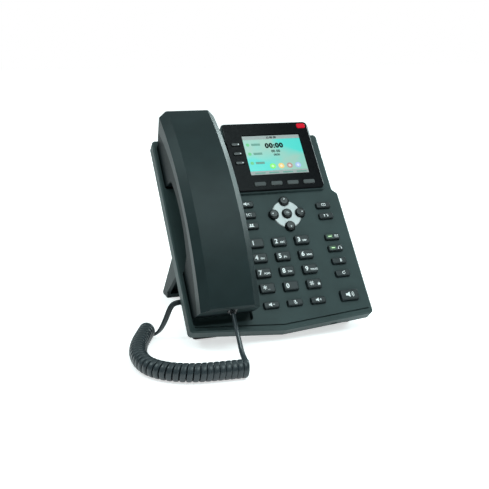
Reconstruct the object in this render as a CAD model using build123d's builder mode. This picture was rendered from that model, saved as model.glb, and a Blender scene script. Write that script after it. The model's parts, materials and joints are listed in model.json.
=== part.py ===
"""Desk IP phone: sloped case, handset on a cradle, display, keys, stand and curly cord.

Millimetres, +Z up. The origin is on the desk under the middle of the phone (the cord left out)
and the phone faces -Y. Nearly everything is laid out on the sloped front face: u runs right
along +X, v runs up the face and n stands out of it, all from the middle of the display.
"""
import os
from math import cos, pi, radians, sin, tan

from build123d import *

# ---------------------------------------------------------------- driving dimensions
SLOPE = 49.4                      # the face's angle from the desk, degrees
DISPLAY_CENTRE = (30.0, 32.5, 140.0)
CLEARANCE = 0.35                  # between a key and its hole, all round
PLATE = 2.2                       # wall thickness of the case

BODY_OUTLINE = [(-112.5, 22.7), (48, 22.7), (48, -38.5), (52.5, -42.5), (52.5, -163.5),
                (-31, -170.3), (-112.5, -163.4)]
BACK_OUTLINE = [(-104.5, 13.5), (40, 13.5), (40, -42), (44.5, -46), (44.5, -153),
                (-31, -158.3), (-104.5, -153)]
BODY_CORNER = 3.5
FRONT_DEPTH = 11.0                # depth of the front shell's walls
REAR_DEPTH = 27.0                 # n of the rear face, below the front face
REAR_RIM_INSET = 1.0
REAR_WALL = 2.4

HOOD = (-46.5, 40.5, -39.0, 35.7)  # left, right, bottom, top of the display hood
HOOD_TOP = 2.5
HOOD_BACK = -9.0
HOOD_WALL = 2.5
BEZEL_RIM = 1.3                   # how far the bezel stands in from the hood's edge
BEZEL_TOP = 4.5
VIEW_SIZE = (57.6, 43.2)          # a 2.8 inch 4:3 display
MODULE_SIZE = (63.0, 50.0)
MODULE_BOTTOM = -4.0

KEY_BOTTOM = -3.6
KEY_TOP = 3.0
DIAL_KEY = (13.4, 8.2)
DIAL_FIRST = (-39.1, -88.9)
DIAL_PITCH = (21.45, 14.35)
SMALL_KEY = (13.6, 5.6)
SPEAKER_KEY = (16.8, 9.5)
NAV_CENTRE = (-3.3, -61.5)
NAV_SPREAD = 12.7
NAV_KEY_RADIUS = 4.6
NAV_RING_RADIUS = 13.6
SOFT_KEY = (11.0, 4.0)
LINE_KEY = (8.0, 3.0)
LAMP_SIZE = (8.4, 5.0)
LAMP_CENTRE = (32.6, 30.0)

HANDSET_U = -83.0                 # the handset's middle line
HANDSET_WIDTH = 50.0
HANDSET_BEVEL = 6.5
HANDSET_END_BEVEL = 1.2
HANDSET_SOLE = -5.5               # n of the ear and mouth faces, in their wells
WELL_FLOOR = -6.0
EAR_WELL = (-28.5, 18.0)          # bottom and top, in v
MOUTH_WELL = (-158.5, -108.0)
WELL_WIDTH = 52.0
HANDSET_SOCKET_U = -81.0
HANDSET_SOCKET_N = 22.0
SOCKET_SIZE = (7.8, 6.4)          # a four-way modular socket
PLUG_SIZE = (7.4, 6.0)

HOOK_SIZE = (6.0, 9.0)
HOOK_CENTRE = (-70.0, -8.0)

SCREW_SPOTS = [(-52, 6), (34, -44), (18, -150), (-52, -150)]
WALL_HOLE_RADIUS = 4.0
WALL_HOLE_SPACING = 101.6
WALL_HOLE_MIDDLE = (-30.0, -52.0)

MICROPHONE_SLOT = (17.0, -173.0, -8.9)  # in front of the slot

SIDE_JACK_N = -19.0
SIDE_JACK_FACE = -107.5
SIDE_JACKS_V = [-128.0, -112.0]   # handset jack, headset jack
NETWORK_JACKS_U = [-8.0, 10.0]
REAR_JACKS_V = -12.0
POWER_JACK_U = 26.0
JACK_GAP = 0.2                    # between neighbouring jacks

FEET_X = (-62.0, 62.0)
FOOT_WIDTH = 22.0
FOOT_FRONT = -48.5
FOOT_BACK = -34.5
FOOT_HEIGHT = 2.5

STAND_GAP = 0.3
STAND_MIDDLE = -30.0
STAND_HALF_WIDTH = 64.0
STAND_LEG = 3.5

CORD_DIAMETER = 3.4
COIL_DIAMETER = 14.4
# The route of the cord, chosen by hand, in the phone's own frame.
BASE_LEAD = [(-80.5, -36.4, 30.5), (-85.5, -36.4, 30.5), (-89.4, -36.2, 26.8), (-92.3, -35.8, 19.2),
             (-95.2, -35.4, 12.4), (-98.6, -34.2, 6.2), (-103.2, -32.8, 2.6), (-107.3, -31.3, 2.0)]
COIL_ROUTE = [(-108.2, -30.9, 7.3), (-116.0, -47.5, 7.3), (-123.5, -65.5, 7.3), (-129.0, -87.0, 7.3),
              (-128.0, -109.5, 7.3), (-118.0, -125.5, 7.3), (-101.0, -135.5, 7.3),
              (-80.0, -139.0, 7.3), (-58.4, -140.3, 7.3)]
HANDSET_LEAD = [(-51.0, -88.0, 33.2), (-51.0, -92.9, 27.4), (-52.6, -106.0, 19.5), (-55.2, -120.0, 14.8),
                (-57.2, -130.0, 13.6), (-58.6, -138.4, 13.2)]

face = Plane(origin=DISPLAY_CENTRE, x_dir=(1, 0, 0), z_dir=(0, -sin(radians(SLOPE)), cos(radians(SLOPE))))
FACE_NORMAL = Axis(face.origin, face.z_dir)
# The side view of the phone: local x is v, local y is n and the plane's own normal is u.
side = Plane(origin=face.origin, x_dir=face.y_dir, z_dir=(1, 0, 0))

os.makedirs("parts", exist_ok=True)


def save(part, name):
    """Label a finished piece and write it as parts/name.step."""
    part.label = name
    export_step(part, f"parts/{name}.step")


def block(centre, size, radius, height):
    """A round-cornered rectangle on the face, at the given height over it."""
    with BuildSketch(face.offset(height)) as sketch:
        with Locations(centre):
            RectangleRounded(*size, radius)
    return sketch.sketch


def strip(left, right, bottom, top, radius, height):
    """The same, from its four limits."""
    middle = ((left + right) / 2, (bottom + top) / 2)
    return block(middle, (right - left, top - bottom), radius, height)


def disc(centre, radius, height):
    """A circle on the face, at the given height over it."""
    with BuildSketch(face.offset(height)) as sketch:
        with Locations(centre):
            Circle(radius)
    return sketch.sketch


def case_outline(points, inset, height):
    """An outline of the case, drawn in by inset, at the given height over the face."""
    with BuildSketch(face.offset(height)) as sketch:
        with BuildLine():
            Polyline(*points, close=True)
        make_face()
        if inset:
            offset(amount=-inset, kind=Kind.INTERSECTION, mode=Mode.REPLACE)
        fillet(sketch.vertices(), BODY_CORNER)
    return sketch.sketch


# ---------------------------------------------------------------- where the keys are
def grown(size):
    """The hole for a key of this size."""
    return (size[0] + 2 * CLEARANCE, size[1] + 2 * CLEARANCE)


dial_keys = {}
for number, name in enumerate(["1", "2", "3", "4", "5", "6", "7", "8", "9", "star", "0", "hash"]):
    row, column = divmod(number, 3)
    dial_keys[f"key_{name}"] = (DIAL_FIRST[0] + column * DIAL_PITCH[0], DIAL_FIRST[1] - row * DIAL_PITCH[1])

small_keys = {}
for column, name in enumerate(["volume_down_key", "microphone_mute_key", "volume_up_key"]):
    small_keys[name] = (DIAL_FIRST[0] + column * DIAL_PITCH[0], -147.5)
for name, v in [("hold_key", -49.8), ("transfer_key", -60.7), ("conference_key", -71.6)]:
    small_keys[name] = (-39.6, v)
for name, v in [("back_key", -55.7), ("return_key", -66.8), ("message_key", -88.3), ("headset_key", -99.8),
                ("phonebook_key", -112.4), ("redial_key", -124.7)]:
    small_keys[name] = (33.4, v)

speaker_centre = (33.6, -145.8)

nav_keys = {"nav_ok_key": NAV_CENTRE}
for name, du, dv in [("up", 0, 1), ("down", 0, -1), ("left", -1, 0), ("right", 1, 0)]:
    nav_keys[f"nav_{name}_key"] = (NAV_CENTRE[0] + du * NAV_SPREAD, NAV_CENTRE[1] + dv * NAV_SPREAD)

soft_keys = {f"soft_key_{number + 1}": (1.1 + (number - 1.5) * 15.9, -31.5) for number in range(4)}
line_keys = {f"line_key_{number + 1}": (-36.7, 11.5 - number * 9.95) for number in range(3)}

# ---------------------------------------------------------------- front shell
hood_left, hood_right, hood_bottom, hood_top = HOOD
body_top = BODY_OUTLINE[0][1]
well_left = HANDSET_U - WELL_WIDTH / 2
well_right = HANDSET_U + WELL_WIDTH / 2

with BuildPart() as front_shell:
    extrude(case_outline(BODY_OUTLINE, 0, -FRONT_DEPTH), amount=FRONT_DEPTH)
    chamfer(front_shell.edges().group_by(FACE_NORMAL)[-1], 1.2)
    extrude(case_outline(BODY_OUTLINE, PLATE, -FRONT_DEPTH), amount=FRONT_DEPTH - PLATE, mode=Mode.SUBTRACT)
    # The hood that carries the display stands on the case and reaches over its top edge.
    extrude(strip(*HOOD, 4.5, HOOD_BACK), amount=HOOD_TOP - HOOD_BACK)
    extrude(strip(hood_left - 1, hood_right + 1, hood_bottom - 1, body_top - PLATE, 0.5, -FRONT_DEPTH),
            amount=FRONT_DEPTH - PLATE, mode=Mode.SUBTRACT)
    extrude(strip(hood_left + HOOD_WALL, hood_right - HOOD_WALL, hood_bottom + HOOD_WALL,
                  hood_top - HOOD_WALL, 2, HOOD_BACK + PLATE),
            amount=HOOD_TOP - HOOD_BACK - 2 * PLATE, mode=Mode.SUBTRACT)
    extrude(block((0, 0), grown(MODULE_SIZE), 1, -PLATE), amount=HOOD_TOP + PLATE, mode=Mode.SUBTRACT)
    # Wells for the handset's ear and mouth ends, with a floor under each.
    for well_bottom, well_top in (EAR_WELL, MOUTH_WELL):
        extrude(strip(well_left - 2, well_right + 2, well_bottom - 2, well_top + 1.3, 2, WELL_FLOOR - PLATE),
                amount=-WELL_FLOOR)
        extrude(strip(well_left, well_right, well_bottom, well_top, 3, WELL_FLOOR),
                amount=-WELL_FLOOR, mode=Mode.SUBTRACT)
    # Posts that the case screws bite into.
    for spot in SCREW_SPOTS:
        extrude(disc(spot, 3.6, -FRONT_DEPTH), amount=FRONT_DEPTH - 1)
        extrude(disc(spot, 1.5, -FRONT_DEPTH), amount=6, mode=Mode.SUBTRACT)
    # Holes for every key, for the hook switch and for the lamp.
    with BuildSketch(face.offset(-PLATE - 2)):
        with Locations(*dial_keys.values()):
            RectangleRounded(*grown(DIAL_KEY), 1.6)
        with Locations(*small_keys.values()):
            RectangleRounded(*grown(SMALL_KEY), 1.6)
        with Locations(speaker_centre):
            RectangleRounded(*grown(SPEAKER_KEY), 1.6)
        with Locations(*nav_keys.values()):
            Circle(NAV_KEY_RADIUS + CLEARANCE)
        with Locations(*soft_keys.values()):
            RectangleRounded(*grown(SOFT_KEY), 1.6)
        with Locations(*line_keys.values()):
            RectangleRounded(*grown(LINE_KEY), 1.2)
        with Locations(LAMP_CENTRE):
            RectangleRounded(*LAMP_SIZE, 1.5)
    extrude(amount=PLATE + HOOD_TOP + 3, mode=Mode.SUBTRACT)
    extrude(block(HOOK_CENTRE, grown(HOOK_SIZE), 1, WELL_FLOOR - PLATE - 1), amount=PLATE + 2,
            mode=Mode.SUBTRACT)
    # A shallow seat for the ring round the navigation keys.
    extrude(disc(NAV_CENTRE, NAV_RING_RADIUS + 0.1, -1), amount=2, mode=Mode.SUBTRACT)
    # Grille slots for the loudspeaker, under the handset's grip.
    with BuildSketch(face.offset(-PLATE - 1)):
        with Locations((HANDSET_U, -65)):
            with GridLocations(0, 4.6, 1, 6):
                SlotOverall(26, 2)
    extrude(amount=PLATE + 2, mode=Mode.SUBTRACT)
    # A groove along the front edge, and the microphone's slot in the front wall.
    with BuildSketch(face.offset(-1.3)):
        with BuildLine():
            Polyline((-108, -158.8), (-31, -164.9), (48.8, -158.3), (48.8, -159.5), (-31, -166.1),
                     (-108, -160), close=True)
        make_face()
    extrude(amount=2, mode=Mode.SUBTRACT)
    with BuildSketch(Plane(origin=face.from_local_coords(MICROPHONE_SLOT), x_dir=(1, 0, 0), z_dir=face.y_dir)):
        SlotOverall(6.4, 3.4)
    extrude(amount=10, mode=Mode.SUBTRACT)
save(front_shell.part, "front_shell")

# ---------------------------------------------------------------- rear shell
rear_window = (8, 50)             # middle and width, in u, of the rear jacks' window

with BuildPart() as rear_shell:
    loft(sections=[case_outline(BODY_OUTLINE, REAR_RIM_INSET, -FRONT_DEPTH),
                   case_outline(BACK_OUTLINE, 0, -REAR_DEPTH)], ruled=True)
    # Heels that carry the front feet.
    for middle in FEET_X:
        with BuildSketch(Plane.YZ.offset(middle - FOOT_WIDTH / 2)):
            with BuildLine():
                Polyline((FOOT_FRONT, FOOT_HEIGHT), (FOOT_BACK, FOOT_HEIGHT), (FOOT_BACK, 21.5),
                         (-47, 7.2), (FOOT_FRONT, 7), close=True)
            make_face()
        extrude(amount=FOOT_WIDTH)
    loft(sections=[case_outline(BODY_OUTLINE, REAR_RIM_INSET + REAR_WALL, -FRONT_DEPTH),
                   case_outline(BACK_OUTLINE, 1.3, -REAR_DEPTH + PLATE)], ruled=True, mode=Mode.SUBTRACT)
    for spot in SCREW_SPOTS:
        extrude(disc(spot, 4, -REAR_DEPTH + 1), amount=REAR_DEPTH - FRONT_DEPTH - 1)
        extrude(disc(spot, 1.6, -REAR_DEPTH), amount=REAR_DEPTH - FRONT_DEPTH, mode=Mode.SUBTRACT)
        extrude(disc(spot, 3.1, -REAR_DEPTH), amount=2, mode=Mode.SUBTRACT)
    # Keyholes for hanging the phone on two wall screws.
    with BuildSketch(face.offset(-REAR_DEPTH)):
        with Locations(WALL_HOLE_MIDDLE):
            with GridLocations(0, WALL_HOLE_SPACING, 1, 2):
                Circle(WALL_HOLE_RADIUS)
                with Locations((0, 4)):
                    SlotOverall(9, 4, rotation=90)
    extrude(amount=PLATE, mode=Mode.SUBTRACT)
    # Slots for the stand's tabs, long enough for the stand to slide free.
    with BuildSketch(face.offset(-REAR_DEPTH)):
        with Locations((STAND_MIDDLE, -59)):
            with GridLocations(100, 0, 2, 1):
                Rectangle(9, 24)
    extrude(amount=PLATE, mode=Mode.SUBTRACT)
    # A window for the jacks in the rear face and another in the left wall.
    with BuildSketch(face.offset(-REAR_DEPTH)):
        with Locations((rear_window[0], REAR_JACKS_V)):
            Rectangle(rear_window[1], 13.5)
    extrude(amount=PLATE, mode=Mode.SUBTRACT)
    with BuildSketch(side.offset(-114)):
        with Locations((sum(SIDE_JACKS_V) / 2, SIDE_JACK_N)):
            Rectangle(32, 10.8)
    extrude(amount=20, mode=Mode.SUBTRACT)
save(rear_shell.part, "rear_shell")

# ---------------------------------------------------------------- display
with BuildPart() as display_bezel:
    extrude(strip(hood_left + BEZEL_RIM, hood_right - BEZEL_RIM, hood_bottom + BEZEL_RIM,
                  hood_top - BEZEL_RIM, 3.5, HOOD_TOP), amount=BEZEL_TOP - HOOD_TOP)
    chamfer(display_bezel.edges().group_by(FACE_NORMAL)[-1], 0.6)
    extrude(block((0, 0), VIEW_SIZE, 0.6, HOOD_TOP), amount=4, mode=Mode.SUBTRACT)
    with BuildSketch(face.offset(HOOD_TOP)):
        with Locations(*soft_keys.values()):
            RectangleRounded(*grown(SOFT_KEY), 1.6)
        with Locations(*line_keys.values()):
            RectangleRounded(*grown(LINE_KEY), 1.2)
        with Locations(LAMP_CENTRE):
            RectangleRounded(*LAMP_SIZE, 1.5)
    extrude(amount=4, mode=Mode.SUBTRACT)
save(display_bezel.part, "display_bezel")

with BuildPart() as lcd_module:
    extrude(block((0, 0), MODULE_SIZE, 0.8, MODULE_BOTTOM), amount=HOOD_TOP - MODULE_BOTTOM)
    extrude(block((0, 0), (VIEW_SIZE[0] - 0.4, VIEW_SIZE[1] - 0.4), 0.5, HOOD_TOP), amount=0.9)
save(lcd_module.part, "lcd_module")

with BuildPart() as message_lamp:
    extrude(block(LAMP_CENTRE, LAMP_SIZE, 1.5, 0), amount=BEZEL_TOP + 0.7)
    fillet(message_lamp.edges().group_by(FACE_NORMAL)[-1], 0.6)
save(message_lamp.part, "message_lamp")


# ---------------------------------------------------------------- keys
def make_key(name, centre, size, top, crown):
    """A square key cap with a softened top."""
    with BuildPart() as key:
        extrude(block(centre, size, 1.3, KEY_BOTTOM), amount=top - KEY_BOTTOM)
        fillet(key.edges().group_by(FACE_NORMAL)[-1], crown)
    save(key.part, name)


for name, centre in dial_keys.items():
    make_key(name, centre, DIAL_KEY, KEY_TOP, 0.9)
for name, centre in small_keys.items():
    make_key(name, centre, SMALL_KEY, KEY_TOP - 0.4, 0.8)
make_key("speaker_key", speaker_centre, SPEAKER_KEY, KEY_TOP, 0.9)
for name, centre in soft_keys.items():
    make_key(name, centre, SOFT_KEY, BEZEL_TOP + 1.0, 0.5)
for name, centre in line_keys.items():
    make_key(name, centre, LINE_KEY, BEZEL_TOP + 0.9, 0.4)

for name, centre in nav_keys.items():
    with BuildPart() as nav_key:
        extrude(disc(centre, NAV_KEY_RADIUS, KEY_BOTTOM), amount=KEY_TOP + 0.4 - KEY_BOTTOM)
        fillet(nav_key.edges().group_by(FACE_NORMAL)[-1], 1.6)
    save(nav_key.part, name)

with BuildPart() as navigation_ring:
    extrude(disc(NAV_CENTRE, NAV_RING_RADIUS, -1), amount=1.9)
    chamfer(navigation_ring.edges().group_by(FACE_NORMAL)[-1], 0.5)
    with BuildSketch(face.offset(-1)):
        with Locations(*nav_keys.values()):
            Circle(NAV_KEY_RADIUS + CLEARANCE)
    extrude(amount=3, mode=Mode.SUBTRACT)
save(navigation_ring.part, "navigation_ring")

# ---------------------------------------------------------------- inside the case
with BuildPart() as key_mat:
    extrude(strip(-50, 43, -156, -43, 2, -7.2), amount=1.6)
    for spot in SCREW_SPOTS:
        extrude(disc(spot, 4, -7.5), amount=3, mode=Mode.SUBTRACT)
save(key_mat.part, "key_mat")

with BuildPart() as main_board:
    extrude(strip(-52, 44, -156, 14, 2, -9.2), amount=1.6)
    for spot in SCREW_SPOTS:
        extrude(disc(spot, 4, -9.5), amount=3, mode=Mode.SUBTRACT)
save(main_board.part, "main_board")

with BuildPart() as loudspeaker:
    extrude(disc((HANDSET_U, -65), 18, -5.2), amount=3)
    extrude(disc((HANDSET_U, -65), 12, -13), amount=8)
save(loudspeaker.part, "loudspeaker")

with BuildPart() as hook_switch:
    extrude(block(HOOK_CENTRE, HOOK_SIZE, 0.8, -15), amount=9.2)
    extrude(block(HOOK_CENTRE, (HOOK_SIZE[0] + 3, HOOK_SIZE[1] + 3), 0.8, -15), amount=2)
    fillet(hook_switch.edges().group_by(FACE_NORMAL)[-1], 0.6)
save(hook_switch.part, "hook_switch")

with BuildPart() as case_screws:
    for spot in SCREW_SPOTS:
        extrude(disc(spot, 3, -REAR_DEPTH + 0.1), amount=1.9)
        extrude(disc(spot, 1.5, -REAR_DEPTH + 1), amount=20)
        with BuildSketch(face.offset(-REAR_DEPTH)):
            with Locations(spot):
                Rectangle(3.6, 0.8)
                Rectangle(0.8, 3.6)
        extrude(amount=1.2, mode=Mode.SUBTRACT)
save(case_screws.part, "case_screws")

# ---------------------------------------------------------------- jacks and plugs
with BuildPart() as rear_jacks:
    for u in NETWORK_JACKS_U:
        extrude(block((u, REAR_JACKS_V), (18 - JACK_GAP, 13.5), 0.2, -REAR_DEPTH), amount=14)
        extrude(block((u, REAR_JACKS_V), (11.8, 8.2), 0.3, -REAR_DEPTH), amount=11.5, mode=Mode.SUBTRACT)
    extrude(block((POWER_JACK_U, REAR_JACKS_V), (14 - JACK_GAP, 13.5), 0.2, -REAR_DEPTH), amount=14)
    extrude(disc((POWER_JACK_U, REAR_JACKS_V), 3.2, -REAR_DEPTH), amount=9.5, mode=Mode.SUBTRACT)
save(rear_jacks.part, "rear_jacks")

with BuildPart() as side_jacks:
    with BuildSketch(side.offset(SIDE_JACK_FACE)):
        with Locations(*[(v, SIDE_JACK_N) for v in SIDE_JACKS_V]):
            Rectangle(16 - JACK_GAP, 10.8)
    extrude(amount=14)
    with BuildSketch(side.offset(SIDE_JACK_FACE)):
        with Locations(*[(v, SIDE_JACK_N) for v in SIDE_JACKS_V]):
            Rectangle(*SOCKET_SIZE)
    extrude(amount=11.5, mode=Mode.SUBTRACT)
save(side_jacks.part, "side_jacks")

with BuildPart() as base_plug:
    with BuildSketch(side.offset(-108.5)):
        with Locations((SIDE_JACKS_V[0], SIDE_JACK_N)):
            Rectangle(*PLUG_SIZE)
    extrude(amount=11)
    with BuildSketch(side.offset(BASE_LEAD[0][0] - DISPLAY_CENTRE[0])):
        with Locations((SIDE_JACKS_V[0], SIDE_JACK_N)):
            Circle(2.4)
    extrude(amount=2.5)
save(base_plug.part, "base_plug")

# ---------------------------------------------------------------- handset
half_width = HANDSET_WIDTH / 2
HANDSET_TOP = (34.5, 29.0)
HANDSET_CROWN = (-65.0, 47.5)
HANDSET_BOTTOM = (-158.5, 30.5)
SEAM_TOP = (24.5, 11.0)
SEAM_MIDDLE = (-65.0, 34.0)
SEAM_BOTTOM = (-154.5, 12.0)
EAR_V = -5.5                      # the receiver's and the microphone's places along the handset
MOUTH_V = -132.0
end_socket = Plane(origin=face.from_local_coords((HANDSET_SOCKET_U, HANDSET_BOTTOM[0], HANDSET_SOCKET_N)),
                   x_dir=(1, 0, 0), z_dir=face.y_dir)

with BuildPart() as handset_cover:
    with BuildSketch(side.offset(HANDSET_U - half_width)):
        with BuildLine():
            ThreePointArc(HANDSET_TOP, HANDSET_CROWN, HANDSET_BOTTOM)
            Line(HANDSET_BOTTOM, SEAM_BOTTOM)
            ThreePointArc(SEAM_BOTTOM, SEAM_MIDDLE, SEAM_TOP)
            Line(SEAM_TOP, HANDSET_TOP)
        make_face()
    extrude(amount=HANDSET_WIDTH)
    crown_face = handset_cover.faces().filter_by(GeomType.CYLINDER).sort_by(FACE_NORMAL)[-1]
    chamfer(crown_face.edges().filter_by(GeomType.CIRCLE), HANDSET_BEVEL)
    crown_face = handset_cover.faces().filter_by(GeomType.CYLINDER).sort_by(FACE_NORMAL)[-1]
    chamfer(crown_face.edges().filter_by(GeomType.LINE), HANDSET_END_BEVEL)
    with BuildSketch(side.offset(HANDSET_U - half_width + HANDSET_BEVEL + 1)):
        with BuildLine():
            ThreePointArc((24, 25), (-65, 44), (-145, 28))
            Polyline((-145, 28), (-145, 8), (15, 8), (24, 25))
        make_face()
    extrude(amount=HANDSET_WIDTH - 2 * HANDSET_BEVEL - 2, mode=Mode.SUBTRACT)
    with BuildSketch(end_socket.offset(-1)):
        Rectangle(*SOCKET_SIZE)
    extrude(amount=12, mode=Mode.SUBTRACT)
save(handset_cover.part, "handset_cover")

with BuildPart() as handset_base:
    with BuildSketch(side.offset(HANDSET_U - half_width)):
        with BuildLine():
            ThreePointArc(SEAM_TOP, SEAM_MIDDLE, SEAM_BOTTOM)
            Polyline(SEAM_BOTTOM, (-153.5, 8), (-149, HANDSET_SOLE), (-112, HANDSET_SOLE), (-104, 18))
            ThreePointArc((-104, 18), (-67, 26), (-32, 19))
            Polyline((-32, 19), (-24, HANDSET_SOLE), (12.5, HANDSET_SOLE), SEAM_TOP)
        make_face()
    extrude(amount=HANDSET_WIDTH)
    chamfer(handset_base.faces().sort_by(FACE_NORMAL)[0].edges(), 1)
    chamfer(handset_base.faces().sort_by(FACE_NORMAL)[1].edges(), 1)
    # Room for the receiver and the microphone, and the holes they are heard through.
    for middle, length in ((EAR_V, 33), (MOUTH_V, 30)):
        extrude(block((HANDSET_U, middle), (34, length), 2, HANDSET_SOLE + PLATE), amount=30,
                mode=Mode.SUBTRACT)
    with BuildSketch(face.offset(HANDSET_SOLE)):
        with Locations((HANDSET_U, EAR_V)):
            with PolarLocations(5, 6):
                Circle(1)
        with Locations((HANDSET_U, MOUTH_V)):
            with GridLocations(4, 0, 3, 1):
                Circle(0.8)
    extrude(amount=PLATE, mode=Mode.SUBTRACT)
save(handset_base.part, "handset_base")

with BuildPart() as handset_capsules:
    extrude(disc((HANDSET_U, EAR_V), 15, HANDSET_SOLE + PLATE), amount=9)
    extrude(disc((HANDSET_U, MOUTH_V), 6, HANDSET_SOLE + PLATE), amount=5)
save(handset_capsules.part, "handset_capsules")

with BuildPart() as handset_plug:
    with BuildSketch(end_socket.offset(1)):
        Rectangle(*PLUG_SIZE)
    extrude(amount=9.5)
    with BuildSketch(end_socket.offset(-1)):
        Circle(2.4)
    extrude(amount=2.5)
save(handset_plug.part, "handset_plug")

# ---------------------------------------------------------------- feet and stand
with BuildPart() as front_feet:
    with BuildSketch():
        with Locations(*[(middle, (FOOT_FRONT + FOOT_BACK) / 2) for middle in FEET_X]):
            RectangleRounded(FOOT_WIDTH, FOOT_BACK - FOOT_FRONT, 3)
    extrude(amount=FOOT_HEIGHT)
    chamfer(front_feet.edges().group_by(Axis.Z)[0], 0.5)
save(front_feet.part, "front_feet")


def on_back(v, depth=0.0):
    """The y and z of a point on the rear face, or depth below it."""
    point = face.from_local_coords((0, v, -REAR_DEPTH - STAND_GAP - depth))
    return (point.Y, point.Z)


# The stand's side view in desk coordinates: y from the front to the back, z up.
STAND_TOP = -50.0                 # where the leg's back and front edges meet the rear face, in v
STAND_FRONT = -80.0
TOE = 75.4                        # y of the foot bar's front
SOLE = 3.6                        # its height
HEEL = [(91.9, 0), (93.4, 1.6), (91.5, 3.6)]
WEB = 3.0

with BuildPart() as stand:
    for start in (-STAND_HALF_WIDTH, STAND_HALF_WIDTH - STAND_LEG):
        with BuildSketch(Plane.YZ.offset(start)):
            with BuildLine():
                Polyline(on_back(STAND_TOP), on_back(STAND_FRONT), (TOE, 5.7), (TOE, 0), *HEEL, close=True)
            make_face()
        extrude(amount=STAND_LEG)
    with BuildSketch(Plane.YZ.offset(-STAND_HALF_WIDTH)):
        with BuildLine():
            Polyline(on_back(STAND_TOP), on_back(STAND_TOP - WEB * 1.4), (HEEL[2][0] - WEB * 1.4, SOLE),
                     HEEL[2], close=True)
        make_face()
        with BuildLine():
            Polyline((TOE, SOLE), (TOE, 0), *HEEL, close=True)
        make_face()
    extrude(amount=2 * STAND_HALF_WIDTH)
    with BuildSketch(Plane.XZ.offset(-100)):
        with Locations((0, 38)):
            RectangleRounded(80, 34, 5)
    extrude(amount=70, mode=Mode.SUBTRACT)
    extrude(strip(STAND_MIDDLE - STAND_HALF_WIDTH, STAND_MIDDLE + STAND_HALF_WIDTH, -84, -44, 2,
                  -REAR_DEPTH - STAND_GAP - WEB), amount=WEB)
    with BuildSketch(face.offset(-REAR_DEPTH - STAND_GAP)):
        with Locations((STAND_MIDDLE, -67)):
            with GridLocations(100, 0, 2, 1):
                Rectangle(8, 6)
    extrude(amount=STAND_GAP + PLATE + 2)
    with BuildSketch(face.offset(-REAR_DEPTH + PLATE + 0.3)):
        with Locations((STAND_MIDDLE, -69)):
            with GridLocations(100, 0, 2, 1):
                Rectangle(8, 10)
    extrude(amount=1.7)
save(stand.part, "stand")


# ---------------------------------------------------------------- curly cord
def tube(points, diameter, name):
    """A round tube along straight runs joined by arcs as large as the runs allow."""
    corners = [Vector(point) for point in points]
    runs = [end - start for start, end in zip(corners, corners[1:])]
    radii = []
    for before, after in zip(runs, runs[1:]):
        half_turn = radians(before.get_angle(after)) / 2
        radii.append(0.45 * min(before.length, after.length) / tan(half_turn))
    print(name, "radii over diameter:", [round(radius / diameter, 1) for radius in radii])
    with BuildPart() as cord:
        with BuildLine() as route:
            FilletPolyline(*points, radius=radii)
        with BuildSketch(Plane(origin=points[0], z_dir=runs[0])):
            Circle(diameter / 2)
        sweep(path=route.wire())
    length = route.wire().length
    print(name, "length", round(length, 1), "volume over section times length",
          round(cord.part.volume / (pi * diameter ** 2 / 4 * length), 4))
    save(cord.part, name)


tube(BASE_LEAD, CORD_DIAMETER, "cord_base_lead")
tube(COIL_ROUTE, COIL_DIAMETER, "cord_coil")
tube(HANDSET_LEAD, CORD_DIAMETER, "cord_handset_lead")
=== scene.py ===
"""Desk IP phone: looks, legends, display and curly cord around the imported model.

Metres, +Z up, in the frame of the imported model. The sloped front face has its own axes: u runs
right, v runs up the face and n stands out of it, all in millimetres from the middle of the display.
"""
import json
from math import copysign, cos, pi, radians, sin

import bmesh
import bpy
from mathutils import Matrix, Vector


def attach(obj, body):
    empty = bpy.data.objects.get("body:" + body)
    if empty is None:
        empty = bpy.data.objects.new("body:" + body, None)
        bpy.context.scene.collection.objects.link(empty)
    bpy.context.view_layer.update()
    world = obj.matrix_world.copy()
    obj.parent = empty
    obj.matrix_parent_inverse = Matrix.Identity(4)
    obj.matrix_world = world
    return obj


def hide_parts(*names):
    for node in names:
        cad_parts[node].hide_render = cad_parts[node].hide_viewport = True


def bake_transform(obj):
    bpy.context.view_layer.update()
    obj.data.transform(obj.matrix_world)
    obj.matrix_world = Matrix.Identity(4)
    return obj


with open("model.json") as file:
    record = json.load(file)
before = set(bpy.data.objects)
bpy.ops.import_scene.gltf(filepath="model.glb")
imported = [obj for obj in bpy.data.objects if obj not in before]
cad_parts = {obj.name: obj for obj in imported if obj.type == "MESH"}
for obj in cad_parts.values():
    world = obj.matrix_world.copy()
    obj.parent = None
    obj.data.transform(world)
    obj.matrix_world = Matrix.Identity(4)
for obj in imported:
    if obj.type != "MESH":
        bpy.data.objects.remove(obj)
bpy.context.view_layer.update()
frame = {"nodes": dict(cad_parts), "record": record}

MM = 0.001
SLOPE = radians(49.4)
FACE_U = Vector((1, 0, 0))
FACE_V = Vector((0, cos(SLOPE), sin(SLOPE)))
FACE_N = Vector((0, -sin(SLOPE), cos(SLOPE)))
DISPLAY_CENTRE = Vector((0.030, 0.0325, 0.140))
FACE = Matrix.Translation(DISPLAY_CENTRE) @ Matrix((FACE_U, FACE_V, FACE_N)).transposed().to_4x4()

scene = bpy.context.scene


def set_range(made, *limits):
    """Sets a Map Range node's four limits: from low, from high, to low, to high."""
    for socket, number in zip(("From Min", "From Max", "To Min", "To Max"), limits):
        made.inputs[socket].default_value = number


# ---------------------------------------------------------------- camera, light and floor
CAMERA_PLACE = (-0.25875, -0.71064, 0.24872)
CAMERA_RIGHT = Vector((0.9441, -0.3297, 0.0))
CAMERA_UP = Vector((0.0775, 0.2220, 0.9720))
CAMERA_BACK = Vector((-0.3204, -0.9176, 0.2351))
CAMERA_LENS = 63.49
SIDE_LIGHT = 0.05
TOP_LIGHT = 0.8
LIGHT_TINT = (0.82, 1.0, 1.0)
FLOOR_GLOW = 0.6

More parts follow.
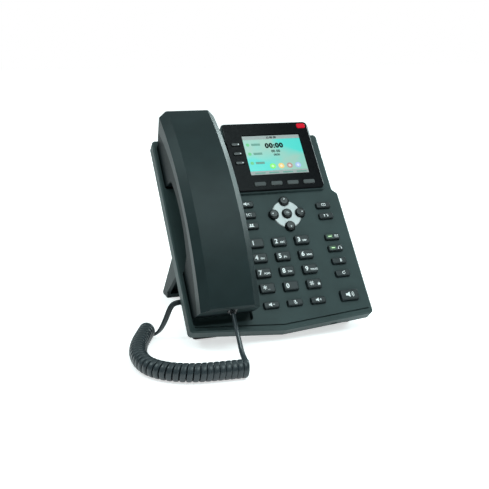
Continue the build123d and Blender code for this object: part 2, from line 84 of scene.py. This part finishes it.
camera_data = bpy.data.cameras.new("camera")
camera_data.lens = CAMERA_LENS
camera_data.sensor_width = 36
camera_data.clip_start = 0.01
camera = bpy.data.objects.new("camera", camera_data)
camera.matrix_world = (Matrix.Translation(CAMERA_PLACE)
                       @ Matrix((CAMERA_RIGHT, CAMERA_UP, CAMERA_BACK)).transposed().to_4x4())
scene.collection.objects.link(camera)
scene.camera = camera
scene.view_settings.view_transform = "Standard"

# The studio is plain white to the camera. As a light it is bright overhead and dim at the sides.
world = bpy.data.worlds.new("studio")
world.use_nodes = True
sky = world.node_tree
direction = sky.nodes.new("ShaderNodeTexCoord")
height = sky.nodes.new("ShaderNodeSeparateXYZ")
dome = sky.nodes.new("ShaderNodeMapRange")
set_range(dome, 0.1, 0.9, SIDE_LIGHT, TOP_LIGHT)
lighting = sky.nodes.new("ShaderNodeBackground")
lighting.inputs["Color"].default_value = (*LIGHT_TINT, 1)
backdrop = sky.nodes["Background"]
backdrop.inputs["Color"].default_value = (1, 1, 1, 1)
ray = sky.nodes.new("ShaderNodeLightPath")
seen = sky.nodes.new("ShaderNodeMixShader")
sky.links.new(direction.outputs["Generated"], height.inputs["Vector"])
sky.links.new(height.outputs["Z"], dome.inputs["Value"])
sky.links.new(dome.outputs["Result"], lighting.inputs["Strength"])
sky.links.new(ray.outputs["Is Camera Ray"], seen.inputs[0])
sky.links.new(lighting.outputs[0], seen.inputs[1])
sky.links.new(backdrop.outputs[0], seen.inputs[2])
sky.links.new(seen.outputs[0], sky.nodes["World Output"].inputs["Surface"])
scene.world = world


def soft_light(name, place, target, size, power):
    """A square studio light that faces its target."""
    data = bpy.data.lights.new(name, "AREA")
    data.size = size
    data.energy = power
    data.color = LIGHT_TINT
    lamp = bpy.data.objects.new(name, data)
    lamp.location = place
    lamp.rotation_euler = (Vector(target) - Vector(place)).to_track_quat("-Z", "Y").to_euler()
    scene.collection.objects.link(lamp)


soft_light("light_key", (0.3, -0.8, 1.6), (0, 0, 0.08), 0.9, 12)
soft_light("light_right", (1.0, 0.7, 0.5), (0, 0, 0.1), 0.6, 11)
soft_light("light_left", (-0.9, 0.25, 1.0), (0, 0, 0.15), 0.3, 3.5)


# ---------------------------------------------------------------- materials
def principled(name, **sockets):
    """A new material with a Principled shader whose sockets are set by name."""
    material = bpy.data.materials.new(name)
    material.use_nodes = True
    shader = material.node_tree.nodes["Principled BSDF"]
    for socket, value in sockets.items():
        shader.inputs[socket.replace("_", " ")].default_value = value
    return material, shader


def node(material, kind, **settings):
    """A new node of a material, with its named inputs and settings."""
    made = material.node_tree.nodes.new(kind)
    for key, value in settings.items():
        if key in made.inputs:
            made.inputs[key].default_value = value
        else:
            setattr(made, key, value)
    return made


def noise(material, scale, detail):
    """A noise texture in the object's own metres; scale is features per metre."""
    place = node(material, "ShaderNodeTexCoord")
    made = node(material, "ShaderNodeTexNoise", Scale=scale, Detail=detail)
    material.node_tree.links.new(place.outputs["Object"], made.inputs["Vector"])
    return made.outputs["Fac"]


def spread(material, value, low, high):
    """Carries a noise's middle range over to low..high."""
    made = node(material, "ShaderNodeMapRange")
    set_range(made, 0.3, 0.7, low, high)
    material.node_tree.links.new(value, made.inputs["Value"])
    return made.outputs["Result"]


def blended(material, factor, dark, light):
    """Mixes two colours by a factor."""
    made = node(material, "ShaderNodeMix", data_type="RGBA")
    made.inputs[6].default_value = (*dark, 1)
    made.inputs[7].default_value = (*light, 1)
    material.node_tree.links.new(factor, made.inputs[0])
    return made.outputs[2]


CLOUD_SCALE = 45                  # features to a metre, as for every noise
LAMP_SCALE = 600
ROUGHNESS_SWING = 0.06
BUMP_STRENGTH = 0.6


def moulded(name, colour, rough, grain=2600, depth=0.00002, cloud=0.12, **sockets):
    """Moulded plastic or the like: a fine grain in the bump and roughness, faint clouds in the colour."""
    material, shader = principled(name, **sockets)
    links = material.node_tree.links
    dark = [channel * (1 - cloud) for channel in colour]
    light = [channel * (1 + cloud) for channel in colour]
    clouds = spread(material, noise(material, CLOUD_SCALE, 3), 0, 1)
    links.new(blended(material, clouds, dark, light), shader.inputs["Base Color"])
    fine = noise(material, grain, 2)
    roughness = spread(material, fine, rough - ROUGHNESS_SWING, rough + ROUGHNESS_SWING)
    links.new(roughness, shader.inputs["Roughness"])
    bump = node(material, "ShaderNodeBump", Strength=BUMP_STRENGTH, Distance=depth)
    links.new(fine, bump.inputs["Height"])
    links.new(bump.outputs["Normal"], shader.inputs["Normal"])
    return material


def glowing(name, colour, strength, **sockets):
    """A lit plastic: the glow is a little uneven, as it is over a small lamp."""
    material, shader = principled(name, Base_Color=(*[channel * 0.3 for channel in colour], 1),
                                  Roughness=0.3, **sockets)
    dark = [channel * 0.8 for channel in colour]
    glow = blended(material, spread(material, noise(material, LAMP_SCALE, 2), 0, 1), dark, colour)
    material.node_tree.links.new(glow, shader.inputs["Emission Color"])
    shader.inputs["Emission Strength"].default_value = strength
    return material


MATERIALS = {
    "case_plastic": moulded("case_plastic", (0.032, 0.052, 0.052), 0.5, Specular_IOR_Level=0.22),
    "handset_plastic": moulded("handset_plastic", (0.013, 0.023, 0.024), 0.4, grain=3200,
                               depth=0.000012, Specular_IOR_Level=0.16),
    # Painted shade: a darker, less glossy copy of the handset's plastic for the handset's base, whose sides
    # lie in shade.
    "handset_painted_shade_plastic": moulded("handset_painted_shade_plastic", (0.006, 0.010, 0.011), 0.45, grain=3200,
                            depth=0.000012, Specular_IOR_Level=0.06),
    # Painted shade: a darker, less glossy copy of the case plastic for the stand, which lies in shade under
    # the body.
    "stand_painted_shade_plastic": moulded("stand_painted_shade_plastic", (0.014, 0.023, 0.024), 0.5, Specular_IOR_Level=0.12),
    "key_plastic": moulded("key_plastic", (0.011, 0.017, 0.019), 0.36, grain=3000, depth=0.00001,
                           Specular_IOR_Level=0.3),
    "nav_key_plastic": moulded("nav_key_plastic", (0.004, 0.006, 0.007), 0.25, grain=1500,
                               depth=0.000004, Specular_IOR_Level=0.3, Coat_Weight=0.15,
                               Coat_Roughness=0.1),
    "soft_key_plastic": moulded("soft_key_plastic", (0.075, 0.082, 0.082), 0.45, grain=3000, depth=0.00001,
                                Specular_IOR_Level=0.2),
    "bezel_gloss": moulded("bezel_gloss", (0.0025, 0.003, 0.004), 0.2, grain=500, depth=0.000002,
                           Specular_IOR_Level=0.05),
    "display_glass": moulded("display_glass", (0.02, 0.022, 0.024), 0.15, grain=500, depth=0.000001),
    "lamp_red": glowing("lamp_red", (0.55, 0.004, 0.02), 1.0, Specular_IOR_Level=0.08),
    "ring_silver": moulded("ring_silver", (0.42, 0.44, 0.44), 0.34, grain=1800, depth=0.00001,
                           cloud=0.05, Metallic=0.3),
    "mat_rubber": moulded("mat_rubber", (0.012, 0.013, 0.014), 0.7, grain=1500),
    "board_green": moulded("board_green", (0.02, 0.10, 0.05), 0.5, grain=900),
    "speaker_steel": moulded("speaker_steel", (0.35, 0.35, 0.36), 0.35, grain=900, Metallic=1.0),
    "screw_steel": moulded("screw_steel", (0.5, 0.5, 0.52), 0.3, grain=900, Metallic=1.0),
    "jack_plastic": moulded("jack_plastic", (0.010, 0.011, 0.012), 0.5, grain=2000),
    "plug_clear": moulded("plug_clear", (0.03, 0.033, 0.036), 0.2, grain=900, depth=0.000004,
                          Transmission_Weight=0.3),
    "foot_rubber": moulded("foot_rubber", (0.012, 0.012, 0.013), 0.85, grain=1400, depth=0.00003),
    "cord_jacket": moulded("cord_jacket", (0.018, 0.026, 0.031), 0.36, grain=2200, depth=0.00001,
                           cloud=0.2, Specular_IOR_Level=0.5),
    "capsule_plastic": moulded("capsule_plastic", (0.02, 0.021, 0.022), 0.6, grain=1500),
    "legend_white": moulded("legend_white", (0.92, 0.94, 0.94), 0.5, grain=4000, depth=0.000004, cloud=0.06),
}

for part in frame["record"]["subparts"]:
    cad = frame["nodes"][part["node"]]
    for holder in cad.material_slots:
        holder.material = MATERIALS[part["material_slot"]]
# Some pieces get a darker material than the rest of their slot. The line keys take the navigation keys'
# glossy black. The handset's base and the stand get darker copies of their plastics: painted shade, for the
# shade that falls on the handset's sides and on the stand.
DARKER = {"line_key_1": "nav_key_plastic", "line_key_2": "nav_key_plastic", "line_key_3": "nav_key_plastic",
          "handset_base": "handset_painted_shade_plastic", "stand": "stand_painted_shade_plastic"}
for name, darker_material in DARKER.items():
    for holder in frame["nodes"][name].material_slots:
        holder.material = MATERIALS[darker_material]

FLOOR_HALF = 6.0
floor_mesh = bpy.data.meshes.new("studio_floor")
floor_mesh.from_pydata([(x, y, 0) for x, y in ((-1, -1), (1, -1), (1, 1), (-1, 1))], [], [(0, 1, 2, 3)])
floor_mesh.transform(Matrix.Scale(FLOOR_HALF, 4))
floor = bpy.data.objects.new("studio_floor", floor_mesh)
floor_mesh.materials.append(moulded("studio_white", (0.93, 0.93, 0.93), 0.8, grain=60, depth=0.00001,
                                    cloud=0.005, Specular_IOR_Level=0.1, Emission_Color=(1, 1, 1, 1),
                                    Emission_Strength=FLOOR_GLOW))
scene.collection.objects.link(floor)

# ---------------------------------------------------------------- curly cord
CORD_WIDTH = 4.6 * MM             # a flat cord, wound with its wide side against the coil
CORD_THICKNESS = 2.6 * MM
CORD_SIDES = 16
CORD_SQUARENESS = 0.7             # 1 makes an ellipse, less a rounder-cornered box
HELIX_RADIUS = 5.9 * MM
HELIX_START = radians(-80)        # under the coil, turning away from the lead
HELIX_TURN = radians(-(33 * 360 - 170))
HELIX_TIGHTENING = 0.137          # the turns lie closer together towards the handset
HELIX_SAMPLES = 30                # to a turn
TWIST_SAMPLES = 14                # over which the wide side turns where two stretches meet
# The routes of the part's cord solids; the coil's own turns are made from its route.
BASE_LEAD = [(-80.5, -36.4, 30.5), (-85.5, -36.4, 30.5), (-89.4, -36.2, 26.8), (-92.3, -35.8, 19.2),
             (-95.2, -35.4, 12.4), (-98.6, -34.2, 6.2), (-103.2, -32.8, 2.6), (-107.3, -31.3, 2.0)]
COIL_ROUTE = [(-108.2, -30.9, 7.3), (-116.0, -47.5, 7.3), (-123.5, -65.5, 7.3), (-129.0, -87.0, 7.3),
              (-128.0, -109.5, 7.3), (-118.0, -125.5, 7.3), (-101.0, -135.5, 7.3),
              (-80.0, -139.0, 7.3), (-58.4, -140.3, 7.3)]
HANDSET_LEAD = [(-51.0, -88.0, 33.2), (-51.0, -92.9, 27.4), (-52.6, -106.0, 19.5), (-55.2, -120.0, 14.8),
                (-57.2, -130.0, 13.6), (-58.6, -138.4, 13.2)]


def smooth_line(points):
    """The points of a smooth NURBS line with these millimetre points as its control points."""
    curve = bpy.data.curves.new("route", "CURVE")
    curve.dimensions = "3D"
    spline = curve.splines.new("NURBS")
    spline.points.add(len(points) - 1)
    for control, point in zip(spline.points, points):
        control.co = (*(Vector(point) * MM), 1)
    spline.order_u = 3
    spline.use_endpoint_u = True
    spline.resolution_u = 16
    holder = bpy.data.objects.new("route", curve)
    mesh = bpy.data.meshes.new_from_object(holder)
    line = [vertex.co.copy() for vertex in mesh.vertices]
    bpy.data.objects.remove(holder)
    bpy.data.curves.remove(curve)
    bpy.data.meshes.remove(mesh)
    return line


def helix(line):
    """A helix round a level line: its samples, and at each the direction that the coil runs in."""
    lengths = [0.0]
    for start, end in zip(line, line[1:]):
        lengths.append(lengths[-1] + (end - start).length)
    count = int(abs(HELIX_TURN) / (2 * pi) * HELIX_SAMPLES)
    samples = []
    directions = []
    span = 0
    for step in range(count + 1):
        share = step / count
        travelled = lengths[-1] * share
        while span < len(line) - 2 and lengths[span + 1] < travelled:
            span += 1
        along = line[span + 1] - line[span]
        place = line[span] + along * (travelled - lengths[span]) / (lengths[span + 1] - lengths[span])
        outward = Vector((0, 0, 1)).cross(along).normalized()
        angle = HELIX_START + HELIX_TURN * share * (1 - HELIX_TIGHTENING * (1 - share))
        samples.append(place + (outward * cos(angle) + Vector((0, 0, sin(angle)))) * HELIX_RADIUS)
        directions.append(along.normalized())
    return samples, directions


def headings(line):
    """The direction of travel at each point of a line."""
    last = len(line) - 1
    return [(line[min(number + 1, last)] - line[max(number - 1, 0)]).normalized()
            for number in range(len(line))]


def eased(vectors, reach):
    """Each vector averaged with its neighbours."""
    return [sum(vectors[max(number - reach, 0):number + reach + 1], Vector()).normalized()
            for number in range(len(vectors))]


def flat_cord_mesh(name, line, wide_ways):
    """A flat cord along a line; wide_ways says which way its wide side runs across, at each point."""
    mesh = bpy.data.meshes.new(name)
    outline = []
    for side in range(CORD_SIDES):
        angle = 2 * pi * (side + 0.5) / CORD_SIDES
        outline.append((copysign(abs(cos(angle)) ** CORD_SQUARENESS, cos(angle)) * CORD_WIDTH / 2,
                        copysign(abs(sin(angle)) ** CORD_SQUARENESS, sin(angle)) * CORD_THICKNESS / 2))
    vertices = []
    for point, ahead, wide in zip(line, headings(line), wide_ways):
        across = (wide - ahead * wide.dot(ahead)).normalized()
        beside = ahead.cross(across)
        vertices.extend(point + across * x + beside * y for x, y in outline)
    faces = [(ring * CORD_SIDES + side, ring * CORD_SIDES + (side + 1) % CORD_SIDES,
              (ring + 1) * CORD_SIDES + (side + 1) % CORD_SIDES, (ring + 1) * CORD_SIDES + side)
             for ring in range(len(line) - 1) for side in range(CORD_SIDES)]
    faces.append(tuple(reversed(range(CORD_SIDES))))
    faces.append(tuple(range((len(line) - 1) * CORD_SIDES, len(line) * CORD_SIDES)))
    mesh.from_pydata(vertices, [], faces)
    mesh.polygons.foreach_set("use_smooth", [True] * len(faces))
    return mesh


base_lead = smooth_line(BASE_LEAD)[:-1]
coil, coil_ways = helix(smooth_line(COIL_ROUTE))
handset_lead = list(reversed(smooth_line(HANDSET_LEAD)))[1:]
cord_line = base_lead + coil + handset_lead
# The base lead turns from standing on edge to lying flat. The handset's lead shows its thin edge.
base_ways = [heading.cross(CAMERA_BACK).lerp(coil_ways[0], (number / len(base_lead)) ** 1.5)
             for number, heading in enumerate(headings(base_lead))]
handset_ways = [coil_ways[-1] * 0.4 - CAMERA_BACK * 0.9] * len(handset_lead)
wide_ways = eased(base_ways + coil_ways + handset_ways, TWIST_SAMPLES)
cord = bpy.data.objects.new("curly_cord", flat_cord_mesh("curly_cord", cord_line, wide_ways))
cord.data.materials.append(MATERIALS["cord_jacket"])
scene.collection.objects.link(cord)
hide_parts("cord_base_lead", "cord_coil", "cord_handset_lead")
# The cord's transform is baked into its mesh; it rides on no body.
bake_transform(cord)


# ---------------------------------------------------------------- flat shapes, in millimetres
ARC_STEP = 12                     # degrees
DOT_SIDES = 24
FILM_THICKNESS = 0.04


def filled(*points):
    """One filled outline."""
    return [(list(points), [tuple(range(len(points)))])]


def box(left, bottom, right, top):
    """A filled rectangle, from its four limits."""
    return filled((left, bottom), (right, bottom), (right, top), (left, top))


def stroke(x0, y0, x1, y1, width):
    """A straight stroke of a given width."""
    run = Vector((x1 - x0, y1 - y0)).normalized() * width / 2
    return filled((x0 + run.y, y0 - run.x), (x1 + run.y, y1 - run.x),
                  (x1 - run.y, y1 + run.x), (x0 - run.y, y0 + run.x))


def arc(x, y, outer, inner, start, sweep):
    """A part of a ring, from an angle and over an angle in degrees."""
    steps = max(6, int(sweep / ARC_STEP))
    angles = [radians(start + sweep * step / steps) for step in range(steps + 1)]
    points = [(x + radius * cos(angle), y + radius * sin(angle))
              for angle in angles for radius in (inner, outer)]
    faces = [(2 * step, 2 * step + 1, 2 * step + 3, 2 * step + 2) for step in range(steps)]
    return [(points, faces)]


def dot(x, y, radius):
    """A filled circle."""
    angles = [2 * pi * step / DOT_SIDES for step in range(DOT_SIDES)]
    return filled(*[(x + radius * cos(angle), y + radius * sin(angle)) for angle in angles])


def words(text, size, x, y, align="LEFT", bold=0.0, spacing=1.0):
    """Flat lettering in the built-in typeface, from its baseline."""
    curve = bpy.data.curves.new("words", "FONT")
    curve.body = text
    curve.size = size
    curve.align_x = align
    curve.offset = bold
    curve.space_character = spacing
    curve.resolution_u = 4
    holder = bpy.data.objects.new("words", curve)
    mesh = bpy.data.meshes.new_from_object(holder)
    points = [(vertex.co.x + x, vertex.co.y + y) for vertex in mesh.vertices]
    faces = [tuple(polygon.vertices) for polygon in mesh.polygons]
    bpy.data.objects.remove(holder)
    bpy.data.curves.remove(curve)
    bpy.data.meshes.remove(mesh)
    return [(points, faces)]


def film(name, body, place, shapes, material):
    """Lays flat shapes on the face at place (u, v, n) as one thin solid that rides on a body."""
    bm = bmesh.new()
    for points, faces in shapes:
        corners = [bm.verts.new((x * MM, y * MM, 0)) for x, y in points]
        for face in faces:
            bm.faces.new([corners[corner] for corner in face])
    bmesh.ops.remove_doubles(bm, verts=bm.verts, dist=0.002 * MM)
    raised = bmesh.ops.extrude_face_region(bm, geom=bm.faces[:])["geom"]
    lifted = [item for item in raised if isinstance(item, bmesh.types.BMVert)]
    bmesh.ops.translate(bm, verts=lifted, vec=(0, 0, FILM_THICKNESS * MM))
    bmesh.ops.recalc_face_normals(bm, faces=bm.faces)
    mesh = bpy.data.meshes.new(name)
    bm.to_mesh(mesh)
    bm.free()
    mesh.materials.append(material)
    made = bpy.data.objects.new(name, mesh)
    scene.collection.objects.link(made)
    made.matrix_world = FACE @ Matrix.Translation(Vector(place) * MM)
    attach(made, body)


# ---------------------------------------------------------------- legends
WHITE = MATERIALS["legend_white"]
PRINT_GAP = 0.01                  # a print's height over its key
SECOND_GAP = 0.06                 # and that of a print on a print
DIAL_FIRST = (-39.1, -88.9)
DIAL_PITCH = (21.45, 14.35)
DIAL_TOP = 3.0
SMALL_TOP = 2.6
LEFT_KEYS_U = -39.6
RIGHT_KEYS_U = 33.4
BOTTOM_KEYS_V = -147.5
LIT_KEYS = {"message_key": -88.3, "headset_key": -99.8}    # the v of each
SPEAKER_CENTRE = (33.6, -145.8)
SPEAKER_SIGN_SCALE = 1.4
NAV_CENTRE = (-3.3, -61.5)
NAV_SPREAD = 12.7
NAV_TOP = 3.4
LINE_KEY_FIRST = (-36.7, 11.5)
LINE_KEY_PITCH = 9.95
LINE_TOP = 5.4
LINE_ROWS = [LINE_KEY_FIRST[1] - number * LINE_KEY_PITCH for number in range(3)]

padlock = box(3.0, -2.0, 5.2, -0.4) + arc(4.1, -0.5, 0.95, 0.55, 0, 180)
hash_sign = sum([stroke(-3.3 + step, -1.9, -2.9 + step, 2.1, 0.45) for step in (0, 1.5)], [])
hash_sign += sum([stroke(-4.2, -0.7 + step, -0.6, -0.7 + step, 0.45) for step in (0, 1.6)], [])
star_sign = sum([stroke(-2.4 - 1.8 * cos(radians(angle)), 0.3 - 1.8 * sin(radians(angle)),
                        -2.4 + 1.8 * cos(radians(angle)), 0.3 + 1.8 * sin(radians(angle)), 0.6)
                 for angle in (30, 90, 150)], [])
dial_names = ["1", "2", "3", "4", "5", "6", "7", "8", "9", "star", "0", "hash"]
dial_letters = ["", "ABC", "DEF", "GHI", "JKL", "MNO", "PQRS", "TUV", "WXYZ", ". ,", "", ""]
for number, (name, letters) in enumerate(zip(dial_names, dial_letters)):
    row, column = divmod(number, 3)
    shapes = words(name, 5.8, -4.7, -2.0, bold=0.18) if len(name) == 1 else []
    if name == "star":
        shapes = list(star_sign)
    if name == "hash":
        shapes = hash_sign + padlock
    if letters:
        shapes = shapes + words(letters, 2.2, 0.0, -1.9, bold=0.07)
    place = (DIAL_FIRST[0] + column * DIAL_PITCH[0], DIAL_FIRST[1] - row * DIAL_PITCH[1],
             DIAL_TOP + PRINT_GAP)
    film(f"legend_key_{name}", f"key_{name}_cap", place, shapes, WHITE)

loudspeaker_sign = box(-2.6, -0.7, -1.5, 0.7) + filled((-1.5, -0.7), (0.1, -1.8), (0.1, 1.8), (-1.5, 0.7))
waves = arc(0.3, 0, 1.5, 1.1, -45, 90) + arc(0.3, 0, 2.5, 2.1, -45, 90)
envelope = (box(2.2, -1.3, 5.4, -1.0) + box(2.2, 0.9, 5.4, 1.2)
            + box(2.2, -1.0, 2.5, 0.9) + box(5.1, -1.0, 5.4, 0.9)
            + stroke(2.4, 1.0, 3.8, -0.2, 0.3) + stroke(3.8, -0.2, 5.2, 1.0, 0.3))
headset = arc(3.8, -0.3, 1.7, 1.3, 0, 180) + box(1.9, -1.5, 2.7, -0.2) + box(4.9, -1.5, 5.7, -0.2)
small_signs = {
    "hold_key": ((LEFT_KEYS_U, -49.8), loudspeaker_sign + stroke(0.8, -1.0, 2.8, 1.0, 0.45)
                 + stroke(0.8, 1.0, 2.8, -1.0, 0.45)),
    "transfer_key": ((LEFT_KEYS_U, -60.7), box(-2.2, -1.4, -1.7, 1.4) + stroke(-0.9, 0, 0.7, 1.4, 0.5)
                     + stroke(-0.9, 0, 0.7, -1.4, 0.5) + dot(2.0, 0.9, 0.35) + dot(2.0, -0.9, 0.35)),
    "conference_key": ((LEFT_KEYS_U, -71.6), dot(-0.9, 0.8, 0.8) + dot(1.0, 0.8, 0.8)
                       + filled((-2.4, -1.5), (-1.6, -0.1), (1.7, -0.1), (2.5, -1.5))),
    "back_key": ((RIGHT_KEYS_U, -55.7), box(-1.7, 0.9, 1.7, 1.3) + box(-1.7, -1.3, 1.7, -0.9)
                 + box(-2.0, -1.0, -1.6, 1.0) + box(1.6, -1.0, 2.0, 1.0) + box(-0.6, -0.2, 0.6, 0.2)),
    "return_key": ((RIGHT_KEYS_U, -66.8), stroke(-1.9, -1.0, -1.9, 0.9, 0.4)
                   + stroke(-2.6, 0.3, -1.9, 1.1, 0.4) + stroke(-1.2, 0.3, -1.9, 1.1, 0.4)
                   + stroke(-0.2, 1.0, 1.2, 1.0, 0.4)
                   + stroke(1.2, 1.1, 1.2, -1.0, 0.4) + stroke(0.5, -0.4, 1.2, -1.2, 0.4)
                   + stroke(1.9, -0.4, 1.2, -1.2, 0.4)),
    "message_key": ((RIGHT_KEYS_U, LIT_KEYS["message_key"]), envelope),
    "headset_key": ((RIGHT_KEYS_U, LIT_KEYS["headset_key"]), headset),
    "phonebook_key": ((RIGHT_KEYS_U, -112.4), box(0.6, -1.5, 1.5, 1.5) + box(1.8, -1.2, 2.1, 1.2)),
    "redial_key": ((RIGHT_KEYS_U, -124.7), arc(0.6, 0, 1.4, 1.0, 60, 300)
                   + filled((1.0, 0.7), (2.3, 1.2), (1.2, 2.0))),
    "volume_down_key": ((-39.1, BOTTOM_KEYS_V), loudspeaker_sign + box(0.9, -0.25, 2.7, 0.25)),
    "microphone_mute_key": ((-17.65, BOTTOM_KEYS_V), box(-0.6, -0.4, 0.6, 1.3) + dot(0, 1.3, 0.6)
                            + arc(0, -0.1, 1.3, 1.0, 180, 180) + box(-0.2, -2.0, 0.2, -1.3)
                            + stroke(-1.6, 1.4, 1.7, -1.5, 0.3)),
    "volume_up_key": ((3.8, BOTTOM_KEYS_V), loudspeaker_sign + box(0.9, -0.25, 2.7, 0.25)
                      + box(1.55, -0.9, 2.05, 0.9)),
}
for name, (centre, shapes) in small_signs.items():
    film(f"legend_{name}", f"{name}_cap", (*centre, SMALL_TOP + PRINT_GAP), shapes, WHITE)

big_speaker = [([(SPEAKER_SIGN_SCALE * x, SPEAKER_SIGN_SCALE * y) for x, y in points], faces)
               for points, faces in loudspeaker_sign + waves]
film("legend_speaker_key", "speaker_key_cap", (*SPEAKER_CENTRE, DIAL_TOP + PRINT_GAP), big_speaker, WHITE)

for name, du, dv in (("up", 0, 1), ("down", 0, -1), ("left", -1, 0), ("right", 1, 0)):
    arrow = [(0.9 * du - 0.8 * dv, 0.9 * dv + 0.8 * du), (0.9 * du + 0.8 * dv, 0.9 * dv - 0.8 * du),
             (2.1 * du, 2.1 * dv)]
    film(f"legend_nav_{name}_key", f"nav_{name}_key_cap",
         (NAV_CENTRE[0] + du * NAV_SPREAD, NAV_CENTRE[1] + dv * NAV_SPREAD, NAV_TOP + PRINT_GAP),
         filled(*arrow), WHITE)
film("legend_nav_ok_key", "nav_ok_key_cap", (*NAV_CENTRE, NAV_TOP + PRINT_GAP),
     words("OK", 2.2, 0, -0.75, align="CENTER"), WHITE)

for number, v in enumerate(LINE_ROWS):
    film(f"legend_line_key_{number + 1}", f"line_key_{number + 1}_cap",
         (LINE_KEY_FIRST[0], v, LINE_TOP + PRINT_GAP), dot(2.6, 0, 0.55), WHITE)

# Lit bars of the message and headset keys.
green_lens = moulded("green_lens", (0.02, 0.075, 0.03), 0.3, grain=1500, depth=0.000004)
green_glow = glowing("green_glow", (0.62, 1.0, 0.50), 1.1)
for name, v in LIT_KEYS.items():
    film(f"lens_{name}", f"{name}_cap", (RIGHT_KEYS_U, v, SMALL_TOP + PRINT_GAP),
         box(-5.6, -1.9, 0.2, 1.9), green_lens)
    film(f"light_bar_{name}", f"{name}_cap", (RIGHT_KEYS_U, v, SMALL_TOP + SECOND_GAP),
         box(-4.0, -0.35, -0.9, 0.35), green_glow)

# ---------------------------------------------------------------- display
GLASS_TOP = 3.4
HALF_WIDTH = 28.3
HALF_HEIGHT = 21.1
BAR_HEIGHT = 4.0
BAR_GAP = 0.05
PICTURE_PLACE = (0, 0, GLASS_TOP + PRINT_GAP)
INK_PLACE = (0, 0, GLASS_TOP + SECOND_GAP)
ICON_FIRST = (-5.4, -12.4)
ICON_PITCH = 8.35
ICON_FACE_GAP = 0.11              # over the glass, clear of the icon under it
SOFT_LABEL_MIDDLE = 1.1
SOFT_LABEL_PITCH = 13.5
PALE_GREEN = (0.34, 0.66, 0.54)
TURQUOISE = (0.03, 0.80, 0.70)
SADDLE_RANGE = (-0.00005, 0.0003)    # square metres
STREAK_STRENGTH = 0.55
STREAK_SCALE = 55


def screen_material():
    """The lit picture: pale green-grey, with bright turquoise in two corners."""
    material, shader = principled("screen_picture", Base_Color=(0.02, 0.03, 0.03, 1), Roughness=0.2)
    links = material.node_tree.links
    place = node(material, "ShaderNodeTexCoord")
    parts = node(material, "ShaderNodeSeparateXYZ")
    links.new(place.outputs["Object"], parts.inputs["Vector"])
    # The product of the two is high at the upper right and the lower left.
    product = node(material, "ShaderNodeMath", operation="MULTIPLY")
    links.new(parts.outputs["X"], product.inputs[0])
    links.new(parts.outputs["Y"], product.inputs[1])
    saddle = node(material, "ShaderNodeMapRange")
    set_range(saddle, *SADDLE_RANGE, 0, 1)
    links.new(product.outputs[0], saddle.inputs["Value"])
    streaks = node(material, "ShaderNodeMath", operation="MULTIPLY_ADD")
    streaks.inputs[1].default_value = STREAK_STRENGTH
    links.new(noise(material, STREAK_SCALE, 1), streaks.inputs[0])
    links.new(saddle.outputs["Result"], streaks.inputs[2])
    glow = blended(material, spread(material, streaks.outputs[0], 0, 1), PALE_GREEN, TURQUOISE)
    links.new(glow, shader.inputs["Emission Color"])
    shader.inputs["Emission Strength"].default_value = 0.8
    return material


screen_grey = glowing("screen_grey", (0.30, 0.36, 0.35), 0.8)
screen_ink = moulded("screen_ink", (0.003, 0.005, 0.005), 0.4, grain=2000, depth=0.000001,
                     Specular_IOR_Level=0.05)
film("screen_picture", "base", PICTURE_PLACE,
     box(-HALF_WIDTH, BAR_HEIGHT - HALF_HEIGHT, HALF_WIDTH, HALF_HEIGHT - BAR_HEIGHT), screen_material())
film("screen_bars", "base", PICTURE_PLACE,
     box(-HALF_WIDTH, HALF_HEIGHT - BAR_HEIGHT + BAR_GAP, HALF_WIDTH, HALF_HEIGHT)
     + box(-HALF_WIDTH, -HALF_HEIGHT, HALF_WIDTH, BAR_HEIGHT - HALF_HEIGHT - BAR_GAP), screen_grey)
labels = []
for number in range(4):
    middle = SOFT_LABEL_MIDDLE + (number - 1.5) * SOFT_LABEL_PITCH
    labels += box(middle - 5, -20.0, middle + 5, -18.6)
for v in LINE_ROWS:
    labels += box(-21.0, v - 1.2, -12.5, v + 1.2)
film("screen_ink", "base", INK_PLACE,
     words("00:00", 7.0, 1.0, 7.6, align="CENTER", bold=0.42, spacing=1.15)
     + words("12 05 00", 2.8, 0.0, 18.0, align="CENTER", bold=0.14)
     + words("00 00", 3.8, 1.3, 2.5, align="CENTER", bold=0.1)
     + words("0000", 3.0, 1.5, -1.2, align="CENTER", bold=0.08), screen_ink)
film("screen_labels", "base", INK_PLACE, labels, glowing("screen_label", (0.10, 0.32, 0.25), 0.7))
film("screen_line_marks", "base", INK_PLACE, sum([dot(-24.6, v, 1.7) for v in LINE_ROWS], []),
     glowing("screen_green", (0.10, 0.55, 0.20), 0.8))
icon_colours = [(0.20, 0.85, 0.10), (0.90, 0.60, 0.15), (0.45, 0.24, 0.20), (0.35, 0.50, 0.80)]
for number, colour in enumerate(icon_colours):
    spot = (ICON_FIRST[0] + ICON_PITCH * number, ICON_FIRST[1])
    film(f"screen_icon_{number + 1}", "base", (*spot, GLASS_TOP + SECOND_GAP), dot(0, 0, 2.9),
         glowing(f"screen_icon_{number + 1}", colour, 0.8))
    paler = [0.5 + 0.5 * channel for channel in colour]
    film(f"screen_icon_face_{number + 1}", "base", (*spot, GLASS_TOP + ICON_FACE_GAP), dot(0, 0, 1.3),
         glowing(f"screen_icon_face_{number + 1}", paler, 0.8))
